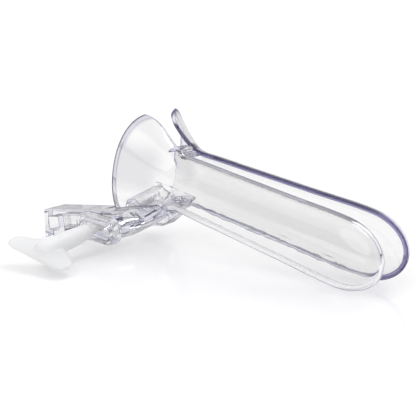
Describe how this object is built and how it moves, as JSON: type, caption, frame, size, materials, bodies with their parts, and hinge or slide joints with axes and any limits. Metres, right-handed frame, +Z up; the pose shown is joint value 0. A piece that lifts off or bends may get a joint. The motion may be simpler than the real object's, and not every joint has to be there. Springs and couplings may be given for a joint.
{
  "type": "bivalve speculum",
  "caption": "Clear plastic two-valved examination speculum with trough-shaped valves, flared mouth, thumb lever and a white side screw with a wing, lying on its side.",
  "frame": {"origin": "centre of the underside of the bounding box, on the table the instrument lies on", "axes": "+X from the lever's end towards the valve tips, +Y from the near valve to the far valve, +Z up"},
  "size_m": [0.1658, 0.0826, 0.0583],
  "materials": {
    "clear_plastic": "clear injection-moulded polystyrene, polished, faint violet tint in its edges",
    "white_plastic": "white translucent polypropylene, satin as moulded"
  },
  "bodies": {
    "far_half": {"far_valve": "clear_plastic"},
    "near_half": {"near_valve": "clear_plastic"},
    "screw_stem": {"screw_shank": "white_plastic"},
    "wing": {"wing_grip": "white_plastic"}
  },
  "joints": [
    {"name": "valve_opening", "type": "hinge", "parent": "far_half", "child": "near_half", "pos_m": [-0.02042, 0.02001, 0.03121], "axis": [-0.1736, 0, -0.9848], "range_deg": [-8.5, 18]},
    {"name": "screw_travel", "type": "slide", "parent": "far_half", "child": "screw_stem", "axis": [0.0242, 0.9903, 0.1371], "range_m": [-0.0031, 0.00657]},
    {"name": "wing_turn", "type": "hinge", "parent": "screw_stem", "child": "wing", "pos_m": [-0.04801, -0.02633, 0.00835], "axis": [0.0242, 0.9903, 0.1371], "range_deg": [-223.3, 473]}
  ],
  "couplings": [
    {"joint": "screw_travel", "follows": "valve_opening", "m_per_rad": 0.0205},
    {"joint": "wing_turn", "follows": "valve_opening", "ratio": 25.761}
  ]
}
